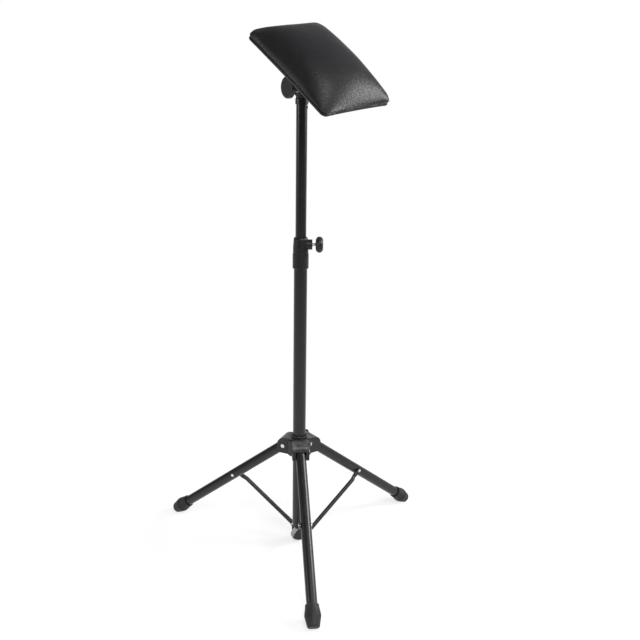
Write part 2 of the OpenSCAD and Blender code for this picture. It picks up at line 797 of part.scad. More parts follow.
// One side of the cushion's outline, drawn in between its corners
function side_run(from, to, inward, draw) =
    [for (i = [1 : side_steps - 1])
        let (t = i / side_steps) from + (to - from) * t + inward * draw * 4 * t * (1 - t)];

function pad_outline(inset, draw) =
    let (
        r = pad_corner_r - inset,
        x = pad_length / 2 - pad_corner_r,
        y = pad_width / 2 - pad_corner_r
    ) concat(
        corner([x, -y], r, -90, 0),
        side_run([x + r, -y], [x + r, y], [-1, 0], draw),
        corner([x, y], r, 0, 90),
        side_run([x, y + r], [-x, y + r], [0, -1], draw),
        corner([-x, y], r, 90, 180),
        side_run([-x - r, y], [-x - r, -y], [1, 0], draw),
        corner([-x, -y], r, 180, 270),
        side_run([-x, -y - r], [x, -y - r], [0, 1], draw)
    );

function at_height(outline, h) = [for (p = outline) [p[0], p[1], h]];

// Height of the crown as a share of its full height, over a point of the pad
function dome_share(p) =
    sqrt((1 - pow(abs(p[0]) * 2 / pad_length, crown_power))
        * (1 - pow(abs(p[1]) * 2 / pad_width, crown_power)));

function crown_ring(outline, share) =
    [for (p = outline)
        let (q = p * share)
            [q[0], q[1], pad_edge_h + pad_crown_h
                * (dome_share(q) - dome_share(p) * pow(share, edge_power))]];

module pad_cushion() color("#131313") on_board() {
    recess = pad_outline(board_inset - side_gap, 0);
    edge = pad_outline(0, draw_in);
    rings = concat(
        [at_height(recess, board_t), at_height(recess, board_proud),
         at_height(pad_outline(wrap_round, draw_in), board_proud),
         at_height(edge, board_proud + wrap_round),
         at_height(edge, crease_h - crease_w / 2),
         at_height(pad_outline(crease_depth, draw_in), crease_h),
         at_height(edge, crease_h + crease_w / 2)],
        [for (k = [0 : crown_rings - 1]) crown_ring(edge, sin(90 * (1 - k / crown_rings)))]
    );
    n = len(edge);
    m = len(rings);
    polyhedron(
        points = concat(
            [for (ring = rings) each ring],
            [[0, 0, board_t], [0, 0, pad_edge_h + pad_crown_h]]
        ),
        faces = concat(
            [for (i = [0 : n - 1]) [m * n, i, (i + 1) % n]],
            [for (k = [0 : m - 2]) for (i = [0 : n - 1])
                [k * n + i, (k + 1) * n + i, (k + 1) * n + (i + 1) % n]],
            [for (k = [0 : m - 2]) for (i = [0 : n - 1])
                [k * n + i, (k + 1) * n + (i + 1) % n, k * n + (i + 1) % n]],
            [for (i = [0 : n - 1]) [(m - 1) * n + i, m * n + 1, (m - 1) * n + (i + 1) % n]]
        )
    );
}

outer_tube();
mast_end_plug();
lower_bracket();
bracket_pins();
clamp_collar();
collar_sleeve();
collar_seal();
collar_liner();
clamp_nut();
clamp_knob();
clamp_screw();
leg_hub();
leg_pivot_pins();
hub_set_screw();
lock_nut();
lock_wing();
lock_screw();
leg_tube(front_azimuth);  // leg_tube_front
leg_tube(right_azimuth);  // leg_tube_right
leg_tube(left_azimuth);  // leg_tube_left
leg_plug(front_azimuth);  // leg_plug_front
leg_plug(right_azimuth);  // leg_plug_right
leg_plug(left_azimuth);  // leg_plug_left
foot(front_azimuth);  // foot_front
foot(right_azimuth);  // foot_right
foot(left_azimuth);  // foot_left
stay_rivet(front_azimuth);  // stay_rivet_front
stay_rivet(right_azimuth);  // stay_rivet_right
stay_rivet(left_azimuth);  // stay_rivet_left
stay(front_azimuth);  // stay_front
stay(right_azimuth);  // stay_right
stay(left_azimuth);  // stay_left
stay_cap(front_azimuth);  // stay_cap_front
stay_cap(right_azimuth);  // stay_cap_right
stay_cap(left_azimuth);  // stay_cap_left
guide_bush();
inner_tube();
inner_tube_stop();
bush_ring();
head_base();
head_screws();
tilt_bracket();
tilt_nut();
pad_board();
pad_cushion();
pad_screws();
tilt_knob();
tilt_bolt();
tilt_washers();
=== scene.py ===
# %% [markdown]
# # A tattoo arm rest stand, dressed in Blender
#
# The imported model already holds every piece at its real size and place: tubes, hub,
# collar, knobs, bracket, board. This lesson keeps those pieces, gives each surface the
# finish it has on the real stand, and makes the one soft thing on it, the leatherette
# cushion, as a form of its own. Lengths are metres, +Z is up, and the front leg
# points along -Y.

# %% Load the frame
import json
import math

import bpy
import numpy as np
from mathutils import Matrix, Vector


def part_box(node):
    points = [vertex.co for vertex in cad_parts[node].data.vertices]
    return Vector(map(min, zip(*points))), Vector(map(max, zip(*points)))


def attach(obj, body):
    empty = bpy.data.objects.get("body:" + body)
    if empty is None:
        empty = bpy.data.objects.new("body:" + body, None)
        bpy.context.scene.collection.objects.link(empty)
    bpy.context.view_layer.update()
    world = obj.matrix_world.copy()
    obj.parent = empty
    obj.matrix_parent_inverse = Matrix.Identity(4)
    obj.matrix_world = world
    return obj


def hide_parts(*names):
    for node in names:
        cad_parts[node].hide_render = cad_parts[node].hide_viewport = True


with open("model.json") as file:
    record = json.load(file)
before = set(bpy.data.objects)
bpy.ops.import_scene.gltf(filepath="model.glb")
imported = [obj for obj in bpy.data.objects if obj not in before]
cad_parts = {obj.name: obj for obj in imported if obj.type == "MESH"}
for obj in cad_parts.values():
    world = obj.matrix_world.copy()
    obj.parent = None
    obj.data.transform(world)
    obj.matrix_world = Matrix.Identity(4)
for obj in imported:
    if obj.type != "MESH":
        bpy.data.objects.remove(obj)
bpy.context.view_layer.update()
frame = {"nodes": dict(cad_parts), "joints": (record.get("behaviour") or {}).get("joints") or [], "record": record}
nodes = frame["nodes"]
print("pieces in the frame:", len(nodes))

# %% [markdown]
# ## Camera
#
# The camera was fitted to the photograph together with the tripod: the widths of the
# tubes, the lines of the legs and the openness of the round edges give its height, its
# pitch and its focal length. It looks from a little left of the front leg.

# %% Camera
MM = 0.001
mast_low, mast_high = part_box("outer_tube")
MAST = Vector(((mast_low[0] + mast_high[0]) / 2, (mast_low[1] + mast_high[1]) / 2, 0.0))

FRAME_PX = 640
focal_px = 863.0
view_turn = math.radians(-6.8)
pitch = math.radians(17.2)
roll = math.radians(0.86)
camera_distance = 1.566
camera_aside = 0.0377
camera_height = 0.960

sensor = 36.0
clip_near, clip_far = 0.05, 60.0

turn = Matrix.Rotation(view_turn, 3, "Z")
ahead = turn @ Vector((0, math.cos(pitch), -math.sin(pitch)))
right = turn @ Vector((1, 0, 0))
up = right.cross(ahead)
rolled_right = right * math.cos(roll) + up * math.sin(roll)
rolled_up = up * math.cos(roll) - right * math.sin(roll)

camera_data = bpy.data.cameras.new("studio_camera")
camera_data.sensor_width = sensor
camera_data.lens = focal_px / FRAME_PX * sensor
camera_data.clip_start = clip_near
camera_data.clip_end = clip_far
camera = bpy.data.objects.new("studio_camera", camera_data)
bpy.context.scene.collection.objects.link(camera)
camera.matrix_world = Matrix.Translation(
    MAST + turn @ Vector((camera_aside, -camera_distance, camera_height))
) @ Matrix((rolled_right, rolled_up, -ahead)).transposed().to_4x4()
bpy.context.scene.camera = camera
print("lens", round(camera_data.lens, 2), "mm")

# %% [markdown]
# ## Light and backdrop
#
# The photo was taken on a white sheet in a darker studio: the tubes mirror the bright sheet
# near the stand and a dim room beyond it, which is why the mast lightens downwards. The
# world is therefore white to the camera, an even grey for light, and to mirrors a dim
# room, a little brighter on the right, with a low white wall behind the stand. Three
# lamps do the rest: one in front, one on the right for the sheen on the cushion, and a
# small one on the left for the streaks on the tubes.

# %% Node helpers
def add(tree, kind, **values):
    """A node whose attributes, or inputs written as i_Name, are set by name."""
    made = tree.nodes.new(kind)
    for key, value in values.items():
        if key.startswith("i_"):
            made.inputs[key[2:].replace("_", " ")].default_value = value
        else:
            setattr(made, key, value)
    return made


def math_of(tree, operation, *values):
    """A math node's result. Outputs are linked, and numbers set on their own sockets."""
    node = add(tree, "ShaderNodeMath", operation=operation)
    for socket, value in zip(node.inputs, values):
        if isinstance(value, float):
            socket.default_value = value
        else:
            tree.links.new(value, socket)
    return node.outputs[0]


def ranged(tree, value, start, end, low=0.0, high=1.0, how="SMOOTHSTEP"):
    """A change from low to high while the value goes from start to end."""
    node = add(tree, "ShaderNodeMapRange", interpolation_type=how, i_From_Min=start,
               i_From_Max=end, i_To_Min=low, i_To_Max=high)
    tree.links.new(value, node.inputs["Value"])
    return node.outputs["Result"]


def chosen(tree, kind, otherwise, then):
    """The shader `then` for rays of one kind, such as Is Camera Ray, else `otherwise`."""
    mix = add(tree, "ShaderNodeMixShader")
    path = add(tree, "ShaderNodeLightPath")
    tree.links.new(path.outputs[kind], mix.inputs["Fac"])
    tree.links.new(otherwise.outputs[0], mix.inputs[1])
    tree.links.new(then.outputs[0], mix.inputs[2])
    return mix


# %% Light
scene = bpy.context.scene
scene.view_settings.view_transform = "Standard"
world_light = 0.42
soft_tint, room_tint = (0.9, 0.92, 0.94), (0.95, 0.95, 1.0)
room_dark, room_bright = 0.14, 0.42
room_from, room_to = -0.2, 1.0
brighter_side = Vector((0.75, 0.35, 0.55)).normalized()
wall_side = Vector((0.12, 0.99, 0.0)).normalized()
wall_half_width, wall_edge, wall_top, wall_fade = 0.78, 0.9, 0.22, 0.42
upwards = Vector((0, 0, 1))

# Name, place, point aimed at, width and height, and watts
LAMPS = [
    ("key_light", (0.5, -1.9, 2.2), (0, 0, 0.6), (1.2, 1.2), 34),
    ("side_light", (1.8, 0.1, 1.3), (0.05, 0, 0.85), (0.7, 0.8), 26),
    ("left_light", (-1.85, -0.35, 0.9), (0, 0, 0.8), (0.25, 0.4), 5),
]


def background(tree, colour, strength):
    return add(tree, "ShaderNodeBackground", i_Color=(*colour, 1), i_Strength=strength)


def towards(tree, direction, axis):
    """How far a ray's direction points along an axis, from -1 to 1."""
    node = add(tree, "ShaderNodeVectorMath", operation="DOT_PRODUCT")
    node.inputs[1].default_value = axis
    tree.links.new(direction.outputs["Generated"], node.inputs[0])
    return node.outputs["Value"]


def studio_world():
    """White to the camera, grey for light, and to mirrors a dim room with a white wall."""
    world = bpy.data.worlds.new("studio")
    scene.world = world
    world.use_nodes = True
    tree = world.node_tree
    tree.nodes.clear()
    soft = background(tree, soft_tint, world_light)
    white = background(tree, (1, 1, 1), 1.0)
    room = background(tree, room_tint, room_dark)
    direction = add(tree, "ShaderNodeTexCoord")
    bright = towards(tree, direction, brighter_side)
    level = ranged(tree, bright, room_from, room_to, room_dark, room_bright)
    wall = ranged(tree, towards(tree, direction, wall_side), wall_half_width, wall_edge)
    lower = ranged(tree, towards(tree, direction, upwards), wall_fade, wall_top)
    seen_wall = math_of(tree, "MULTIPLY", wall, lower)
    tree.links.new(math_of(tree, "MAXIMUM", level, seen_wall), room.inputs["Strength"])
    out = add(tree, "ShaderNodeOutputWorld")
    last = chosen(tree, "Is Camera Ray", chosen(tree, "Is Glossy Ray", soft, room), white)
    tree.links.new(last.outputs[0], out.inputs["Surface"])


def softbox(name, place, aim, size, watts):
    data = bpy.data.lights.new(name, "AREA")
    data.shape = "RECTANGLE"
    data.size, data.size_y = size
    data.energy = watts
    lamp = bpy.data.objects.new(name, data)
    scene.collection.objects.link(lamp)
    lamp.location = place
    lamp.rotation_mode = "QUATERNION"
    lamp.rotation_quaternion = (Vector(aim) - Vector(place)).to_track_quat("-Z", "Y")


studio_world()
for lamp_values in LAMPS:
    softbox(*lamp_values)
print("lamps:", len(LAMPS))

# %% [markdown]
# ## Finishes
#
# Effects that several finishes share are node groups with named sockets: a fine
# unevenness of moulded or sprayed surfaces, and a second colour on faces that look up:
# dust on most finishes, a lighter top on the hub, and painted glints on the collar's
# seal ring. The leatherette's grain is a group of its own. The principled shader stays in each material.

# %% Node groups
FLOAT = "NodeSocketFloat"
grain_detail = 3.0
dust_detail, dust_roughness = 6.0, 0.65
dust_from, dust_full = 0.1, 0.95
patch_from, patch_to = 0.35, 0.75
pebble_smoothness = 0.6
fold_detail, fold_roughness, fold_distortion = 3.0, 0.55, 0.6
fold_middle, fold_width = 0.5, 0.12
shine_low, shine_high = 0.38, 0.5


def new_group(name, inputs, outputs):
    """A node group of number sockets: inputs with their defaults, and named outputs."""
    group = bpy.data.node_groups.new(name, "ShaderNodeTree")
    for label, value in inputs.items():
        socket = group.interface.new_socket(name=label, in_out="INPUT", socket_type=FLOAT)
        socket.default_value = value
    for label in outputs:
        group.interface.new_socket(name=label, in_out="OUTPUT", socket_type=FLOAT)
    start = add(group, "NodeGroupInput")
    end = add(group, "NodeGroupOutput")
    return group, start, end


def surface_coordinates(tree):
    return add(tree, "ShaderNodeTexCoord").outputs["Object"]


def texture(tree, kind, scale, **values):
    """A texture node over the object's own coordinates, with its scale linked."""
    node = add(tree, kind, **values)
    tree.links.new(surface_coordinates(tree), node.inputs["Vector"])
    tree.links.new(scale, node.inputs["Scale"])
    return node


def grain_group():
    """Fine bumps: noise at a scale per metre, as a height from 0 to 1."""
    group, start, end = new_group("fine_grain", {"Scale": 900.0, "Roughness": 0.5}, ["Height"])
    noise = texture(group, "ShaderNodeTexNoise", start.outputs["Scale"], i_Detail=grain_detail)
    group.links.new(start.outputs["Roughness"], noise.inputs["Roughness"])
    group.links.new(noise.outputs["Fac"], end.inputs["Height"])
    return group


def dust_and_glint_group():
    """A mask on faces that look up, from the normal's Z, broken up by noise: dust on most finishes, a lighter top
    on the hub, painted glints on the collar's seal ring.
    """
    group, start, end = new_group("dust", {"Amount": 0.5, "Scale": 60.0}, ["Mask"])
    geometry = add(group, "ShaderNodeNewGeometry")
    split = add(group, "ShaderNodeSeparateXYZ")
    group.links.new(geometry.outputs["Normal"], split.inputs[0])
    upward = ranged(group, split.outputs["Z"], dust_from, dust_full, how="LINEAR")
    noise = texture(group, "ShaderNodeTexNoise", start.outputs["Scale"],
                    i_Detail=dust_detail, i_Roughness=dust_roughness)
    patch = ranged(group, noise.outputs["Fac"], patch_from, patch_to, how="LINEAR")
    both = math_of(group, "MULTIPLY", upward, patch)
    mask = math_of(group, "MULTIPLY", both, start.outputs["Amount"])
    group.links.new(mask, end.inputs["Mask"])
    return group


def leather_group():
    """Leatherette: rounded pebbles from cells, with thin creases where a slow noise turns."""
    group, start, end = new_group(
        "leather_grain",
        {"Pebble Scale": 400.0, "Crease Scale": 70.0, "Crease Share": 0.5},
        ["Height", "Shine"],
    )
    pebbles = texture(group, "ShaderNodeTexVoronoi", start.outputs["Pebble Scale"],
                      feature="SMOOTH_F1", i_Smoothness=pebble_smoothness)
    folds = texture(group, "ShaderNodeTexNoise", start.outputs["Crease Scale"],
                    i_Detail=fold_detail, i_Roughness=fold_roughness,
                    i_Distortion=fold_distortion)
    off = math_of(group, "SUBTRACT", folds.outputs["Fac"], fold_middle)
    ridge = ranged(group, math_of(group, "ABSOLUTE", off), 0.0, fold_width)
    creases = math_of(group, "MULTIPLY", ridge, start.outputs["Crease Share"])
    height = math_of(group, "SUBTRACT", creases, pebbles.outputs["Distance"])
    group.links.new(height, end.inputs["Height"])
    shine = ranged(group, folds.outputs["Fac"], 0.0, 1.0, shine_low, shine_high, how="LINEAR")
    group.links.new(shine, end.inputs["Shine"])
    return group


FINE_GRAIN = grain_group()
DUST_AND_GLINTS = dust_and_glint_group()
LEATHER = leather_group()


def place_group(tree, group, **values):
    made = add(tree, "ShaderNodeGroup", node_tree=group)
    for key, value in values.items():
        made.inputs[key].default_value = value
    return made


# %% Materials
# Depths of the grain are metres, its scales are counts per metre
black_vinyl, vinyl_dust = (0.007, 0.007, 0.008), (0.045, 0.045, 0.047)
vinyl_roughness, vinyl_bump, vinyl_strength = 0.4, 0.0003, 0.5
vinyl_dust_amount, vinyl_dust_scale = 0.12, 40


def finish(name, colour, roughness, metallic=0.0, specular=0.5):
    """A principled material with the plain numbers set on its own sockets."""
    material = bpy.data.materials.new(name)
    material.use_nodes = True
    tree = material.node_tree
    shader = tree.nodes["Principled BSDF"]
    shader.inputs["Base Color"].default_value = (*colour, 1)
    shader.inputs["Roughness"].default_value = roughness
    shader.inputs["Metallic"].default_value = metallic
    shader.inputs["Specular IOR Level"].default_value = specular
    return material, tree, shader


def bump_from(tree, shader, height, distance, strength=1.0):
    bump = add(tree, "ShaderNodeBump", i_Strength=strength, i_Distance=distance)
    tree.links.new(height, bump.inputs["Height"])
    tree.links.new(bump.outputs["Normal"], shader.inputs["Normal"])


def dust_and_glints_over(tree, shader, under, over, **values):
    """The mask of faces that look up mixes the base colour from the clean one to the dusty one, which on the seal
    ring is a painted glint.
    """
    veil = place_group(tree, DUST_AND_GLINTS, **values)
    mix = add(tree, "ShaderNodeMix", data_type="RGBA", i_A=(*under, 1), i_B=(*over, 1))
    tree.links.new(veil.outputs["Mask"], mix.inputs["Factor"])
    tree.links.new(mix.outputs["Result"], shader.inputs["Base Color"])


def coated(name, colour, dusty, roughness, grain, depth, dust, **kw):
    """A sprayed or moulded finish: fine grain in the bump, and a second colour on top faces: dust on most
    finishes, a lighter top on the hub, painted glints on the seal ring.
    """
    material, tree, shader = finish(name, colour, roughness, **kw)
    fine = place_group(tree, FINE_GRAIN, Scale=grain)
    bump_from(tree, shader, fine.outputs["Height"], depth)
    dust_and_glints_over(tree, shader, colour, dusty, Amount=dust)
    return material


def leather_finish():
    """Black leatherette: pebbled bump, soft creases, uneven shine, a trace of dust."""
    material, tree, shader = finish("leatherette", black_vinyl, vinyl_roughness)
    grain = place_group(tree, LEATHER)
    bump_from(tree, shader, grain.outputs["Height"], vinyl_bump, vinyl_strength)
    tree.links.new(grain.outputs["Shine"], shader.inputs["Roughness"])
    dust_and_glints_over(tree, shader, black_vinyl, vinyl_dust, Amount=vinyl_dust_amount, Scale=vinyl_dust_scale)
    return material


def grey(level):
    return (level, level, level)


leatherette = leather_finish()

# Name, colour, colour on top faces (dust, but on the hub a lighter top), roughness, grain scale, grain depth,
# share of top faces in that colour
FINISHES = {
    "tube_paint": coated(
        "satin_tube_paint", (0.007, 0.007, 0.008), grey(0.1), 0.3, 1400, 0.00006, 0.12),
    # The hub's nylon turns much lighter on faces that look up.
    "hub_plastic": coated(
        "hub_nylon_lighter_on_top", (0.011, 0.011, 0.012), grey(0.34), 0.4, 500, 0.0003, 0.55),
    "collar_plastic": coated(
        "collar_nylon", grey(0.008), grey(0.08), 0.42, 900, 0.0001, 0.2, specular=0.4),
    "knob_plastic": coated(
        "knob_plastic", (0.01, 0.01, 0.011), grey(0.1), 0.35, 900, 0.00006, 0.3, specular=0.45),
    "zinc": coated(
        "zinc_plate", (0.55, 0.54, 0.5), (0.35, 0.34, 0.32), 0.36, 500, 0.0001, 0.3, metallic=1.0),
    "nickel": coated(
        "nickel_plate", (0.72, 0.71, 0.69), (0.5, 0.5, 0.48), 0.2, 800, 0.00003, 0.2, metallic=1.0),
    "rubber": coated(
        "foot_rubber", (0.02, 0.02, 0.021), grey(0.1), 0.55, 500, 0.00015, 0.5, specular=0.35),
    "liner_plastic": coated(
        "natural_nylon", (0.55, 0.54, 0.5), (0.4, 0.39, 0.36), 0.5, 600, 0.0001, 0.3),
    "board": coated(
        "board_backing", (0.02, 0.019, 0.018), grey(0.06), 0.85, 400, 0.0003, 0.1),
    "leatherette": leatherette,
}
# The collar's seal ring: dark, with pale patches on faces that look up that are painted glints.
ring_with_painted_glints = coated("ring_with_painted_glints", grey(0.02), grey(0.75), 0.3, 500, 0.0001, 1.0)


def dress_nodes():
    """Each CAD piece gets the finish of its slot, and the clamp's seal ring its own: dark, with painted glints."""
    for part in frame["record"]["subparts"]:
        piece = nodes[part["node"]]
        piece.data.materials.clear()
        piece.data.materials.append(FINISHES[part["material_slot"]])
    nodes["collar_seal"].data.materials[0] = ring_with_painted_glints


dress_nodes()
print("materials:", len(FINISHES) + 1)

# %% [markdown]
# ## The cushion
#
# On the real stand a foam block lies on a board, and black leatherette is pulled over
# it, round the board's edge and on to the underside, where it is stapled. The cover
# shows a full dome, a crease where the foam ends, and a firm rolled band below it. It
# could be sculpted or made from a subdivided box. Here a cross-section is carried round
# the pad's outline, because the outline and the height are the board's own sizes.

# %% Place of the pad
pad_azimuth = math.radians(29)
pad_tilt = math.radians(35)
pad_offset = 24 * MM
pad_standoff = 50.5 * MM
pad_skew = math.radians(9.5)
tilt_axis = Vector(next(j for j in frame["joints"] if j["name"] == "rest_tilt")["pos_m"])

TILT_FRAME = (
    Matrix.Translation(tilt_axis)
    @ Matrix.Rotation(pad_azimuth - math.pi / 2, 4, "Z")
    @ Matrix.Rotation(pad_tilt, 4, "Y")
)
PAD_FRAME = (
    TILT_FRAME
    @ Matrix.Translation((pad_offset, 0, pad_standoff))
    @ Matrix.Rotation(pad_skew, 4, "Z")
)


def into(matrix, points):
    """Points carried by a 4 by 4 matrix, as one array."""
    m = np.array(matrix)
    return points @ m[:3, :3].T + m[:3, 3]


print("pad centre", [round(v, 4) for v in PAD_FRAME.translation])

# %% The pad's outline
pad_length, pad_width = 217 * MM, 157 * MM
corner_radius = 10 * MM
smallest_corner = 1.5 * MM
draw_in = 1.8 * MM
corner_points, side_points = 20, 60


def outline(inset, draw):
    """A rounded rectangle, moved inwards by inset, its sides bowed in by draw.

    Each quarter is an arc of a corner and then a side. Along a side the bow follows
    4 t (1 - t), which is nothing at its ends and 1 in its middle.
    """
    r = max(corner_radius - inset, smallest_corner)
    x, y = pad_length / 2 - inset - r, pad_width / 2 - inset - r
    arc = np.linspace(0, np.pi / 2, corner_points)
    t = (np.arange(side_points) + 1) / (side_points + 1)
    bow = draw * 4 * t * (1 - t)
    loops = []
    for k, (cx, cy) in enumerate([(x, -y), (x, y), (-x, y), (-x, -y)]):
        start = (k - 1) * np.pi / 2
        loops.append(np.stack([cx + r * np.cos(start + arc), cy + r * np.sin(start + arc)], 1))
        nx, ny = [(x, y), (-x, y), (-x, -y), (x, -y)][k]
        out = np.array([np.cos(start + np.pi / 2), np.sin(start + np.pi / 2)])
        a, b = np.array([cx, cy]) + r * out, np.array([nx, ny]) + r * out
        loops.append(a + (b - a) * t[:, None] - out * bow[:, None])
    return np.concatenate(loops)


print("outline points:", len(outline(0, draw_in)))

# %% The pad's surface
board_t = 9 * MM
board_inset = 5 * MM
edge_h = 9 * MM
crown_h = 43 * MM
lean = 0.006
root_low, root_high = 0.85, 0.4
crown_power, edge_power = 2.3, 8
low_end_from, low_end_to = 0.0, 0.5
near_side_from, near_side_to = 0.75, -0.25
dome_rings = 70

# The cover's cross-section below the dome, as inset and height in millimetres
section = np.array([
    (4.7, 9.0), (4.7, -0.15), (17.0, -0.15), (17.0, -0.85), (16.5, -0.95), (4.0, -0.95),
    (2.6, -0.8), (1.6, -0.4), (0.9, 0.3), (0.55, 1.1), (0.5, 1.9), (0.7, 2.7),
    (1.1, 3.5), (1.6, 4.2), (2.15, 4.8), (2.65, 5.25), (2.8, 5.5), (2.5, 5.7),
    (1.5, 6.0), (0.65, 6.5), (0.18, 7.2), (0.0, 8.0),
]) * MM


def smooth_step(x):
    x = np.clip(x, 0, 1)
    return x * x * (3 - 2 * x)


def dome_share(p):
    """1 over the middle and 0 at the edge: a root of two falling powers, multiplied.

    At the pad's low end, where arms have pressed the foam flatter, the power is near
    one, so the dome comes down to the crease as a slope and not as a wall.
    """
    across = 1 - np.abs(p[:, 0] * 2 / pad_length) ** crown_power
    along = 1 - np.abs(p[:, 1] * 2 / pad_width) ** crown_power
    both = np.clip(across, 0, 1) * np.clip(along, 0, 1)
    to_low = (p[:, 0] / pad_length - low_end_from) / (low_end_to - low_end_from)
    to_near = (p[:, 1] / pad_width - near_side_from) / (near_side_to - near_side_from)
    low_end = smooth_step(to_low) * smooth_step(to_near)
    root = root_high + (root_low - root_high) * low_end
    return both ** root * (1 - np.exp(-both / lean))


def pad_rings():
    """Rings from the recess for the board, under the hem, up the band and over the dome."""
    rings = []
    for inset, height in section:
        bowed = draw_in * np.clip(1 - inset / board_inset, 0, 1)
        loop = outline(inset, bowed)
        rings.append(np.column_stack([loop, np.full(len(loop), height)]))
    rim = outline(0, draw_in)
    for share in np.sin(np.linspace(np.pi / 2, 0, dome_rings, endpoint=False))[1:]:
        q = rim * share
        rise = dome_share(q) - dome_share(rim) * share ** edge_power
        rings.append(np.column_stack([q, edge_h + crown_h * rise]))
    return np.stack(rings)


def closed_rings(rings, first, last):
    """Points and faces of a stack of rings, closed by one point at each end."""
    m, n = rings.shape[:2]
    points = np.concatenate([rings.reshape(-1, 3), [first, last]])
    k, i = np.meshgrid(np.arange(m - 1), np.arange(n), indexing="ij")
    j = (i + 1) % n
    quads = np.stack([k * n + i, k * n + j, (k + 1) * n + j, (k + 1) * n + i], -1).reshape(-1, 4)
    i = np.arange(n)
    j = (i + 1) % n
    low = np.stack([np.full(n, m * n), j, i], -1)
    high = np.stack([(m - 1) * n + i, (m - 1) * n + j, np.full(n, m * n + 1)], -1)
    return points, quads.tolist() + low.tolist() + high.tolist()


pad_points, pad_faces = closed_rings(pad_rings(), (0, 0, board_t), (0, 0, edge_h + crown_h))
print("cushion faces:", len(pad_faces))

# %% Small folds of the cover
# Folds that fan from the corners
gather_depth, gather_reach = 0.55 * MM, 30 * MM
gathers = 18
gather_low, gather_high = 5 * MM, 22 * MM

# Puckers just above the crease, deeper in some places
pucker_depth, pucker_pitch = 0.22 * MM, 10 * MM
pucker_swing, pucker_drift = 2, 17 * MM
rough_least, rough_most, rough_length, rough_start = 0.35, 1.2, 11 * MM, 1.3
pucker_fade_in, pucker_fade_out = 2 * MM, 9 * MM

# The crease, which wavers up and down
crease_h, crease_reach = 5.5 * MM, 2.2 * MM
waver, waver_share = 0.35 * MM, 0.6
waver_long, waver_short, waver_start = 9 * MM, 5.3 * MM, 0.8

# The foam's slow unevenness: pairs of waves, each with its turns in radians over the
# pad's length and width and its phase, and the share that the pair's product adds
ripple = 0.5 * MM
WAVE_PAIRS = [
    ((9, 4, 1.0), (-3, 7, 0.4), 1.0),
    ((21, 0, 2.0), (0, 17, 0.0), 0.4),
]


def gathered(p):
    """Folds round each corner: the angle drives a sine, which dies away from the corner."""
    half = np.array([pad_length, pad_width]) / 2
    away = np.abs(p[:, :2]) - half + corner_radius
    reach = np.hypot(away[:, 0], away[:, 1])
    angle = np.arctan2(away[:, 1], away[:, 0])
    near = 1 - smooth_step(reach / gather_reach)
    low = 1 - smooth_step((p[:, 2] - gather_low) / (gather_high - gather_low))
    fold = gather_depth * near * low * np.sin(gathers * angle)
    return np.sign(p[:, :2]) * (fold / math.sqrt(2))[:, None]


def puckered(p):
    """How far the cover puckers outwards above the crease, sideways or endways."""
    along, against = p[:, 0] + p[:, 1], p[:, 0] - p[:, 1]
    rough = np.clip(rough_least + np.sin(against / rough_length + rough_start), 0, rough_most)
    above = smooth_step((p[:, 2] - crease_h) / pucker_fade_in)
    above *= 1 - smooth_step((p[:, 2] - edge_h) / pucker_fade_out)
    phase = 2 * math.pi * along / pucker_pitch + pucker_swing * np.sin(against / pucker_drift)
    pucker = pucker_depth * rough * above * np.sin(phase)
    at_end = np.abs(p[:, 0]) / pad_length > np.abs(p[:, 1]) / pad_width
    return np.sign(p[:, :2]) * np.stack([pucker * at_end, pucker * ~at_end], 1)


def wavered(p):
    """How far the crease wavers up and down, by its distance from the crease."""
    along, against = p[:, 0] + p[:, 1], p[:, 0] - p[:, 1]
    close = np.exp(-((p[:, 2] - crease_h) / crease_reach) ** 2)
    slow = np.sin(along / waver_long)
    quick = np.sin(against / waver_short + waver_start)
    return waver * close * (slow + waver_share * quick)


def rippled(p):
    """The dome's unevenness, from waves across the pad, more of it towards the top."""
    over = smooth_step((p[:, 2] - edge_h) / crown_h)
    x, y = p[:, 0] / pad_length, p[:, 1] / pad_width
    wave = np.zeros(len(p))
    for first, second, share in WAVE_PAIRS:
        a, b = [np.sin(u * x + v * y + phase) for u, v, phase in (first, second)]
        wave += share * a * b
    return ripple * over * wave


def folded(points):
    """Gathers, puckers, a wavering crease and the foam's unevenness."""
    p = points.copy()
    p[:, :2] += gathered(points) + puckered(points)
    p[:, 2] += wavered(points)
    p[:, 2] += rippled(p)
    return p


def new_piece(name, points, faces, material):
    mesh = bpy.data.meshes.new(name)
    mesh.from_pydata(np.asarray(points).tolist(), [], faces)
    mesh.polygons.foreach_set("use_smooth", np.ones(len(mesh.polygons), bool))
    mesh.materials.append(material)
    mesh.update()
    piece = bpy.data.objects.new(name, mesh)
    scene.collection.objects.link(piece)
    return piece


# %% [markdown]
# ### The cover under pressure
#
# Foam pushes the cover outwards and the staples hold its hem, so the leatherette bulges
# unevenly and pulls in between its corners. A cloth simulation gives that: a slightly
# smaller block is remeshed, swells for twenty frames with its rim held, and the fine
# cushion then takes up the swollen surface. The crease and the rolled band come from
# the section above, because a remesh would blur them.

# %% Swelling the cover
voxel = 5 * MM
swell_pressure = 80.0
swell_frames = 20
swell_cap = 6 * MM
least_move = 1e-9
smooth_levels = 2
wrap_steps = 10
block_share = 0.93
COVER = {
    "quality": 6,
    "mass": 0.01,
    "tension_stiffness": 4,
    "compression_stiffness": 2,
    "shear_stiffness": 2,
    "bending_stiffness": 0.03,
}
hold_below = 12 * MM
dome_from, dome_to = 12 * MM, 24 * MM


def apply_modifier(piece, name):
    bpy.context.view_layer.objects.active = piece
    bpy.ops.object.modifier_apply(modifier=name)


def positions(piece):
    flat = np.empty(len(piece.data.vertices) * 3)
    piece.data.vertices.foreach_get("co", flat)
    return flat.reshape(-1, 3)


def set_positions(piece, points):
    piece.data.vertices.foreach_set("co", points.ravel())
    piece.data.update()


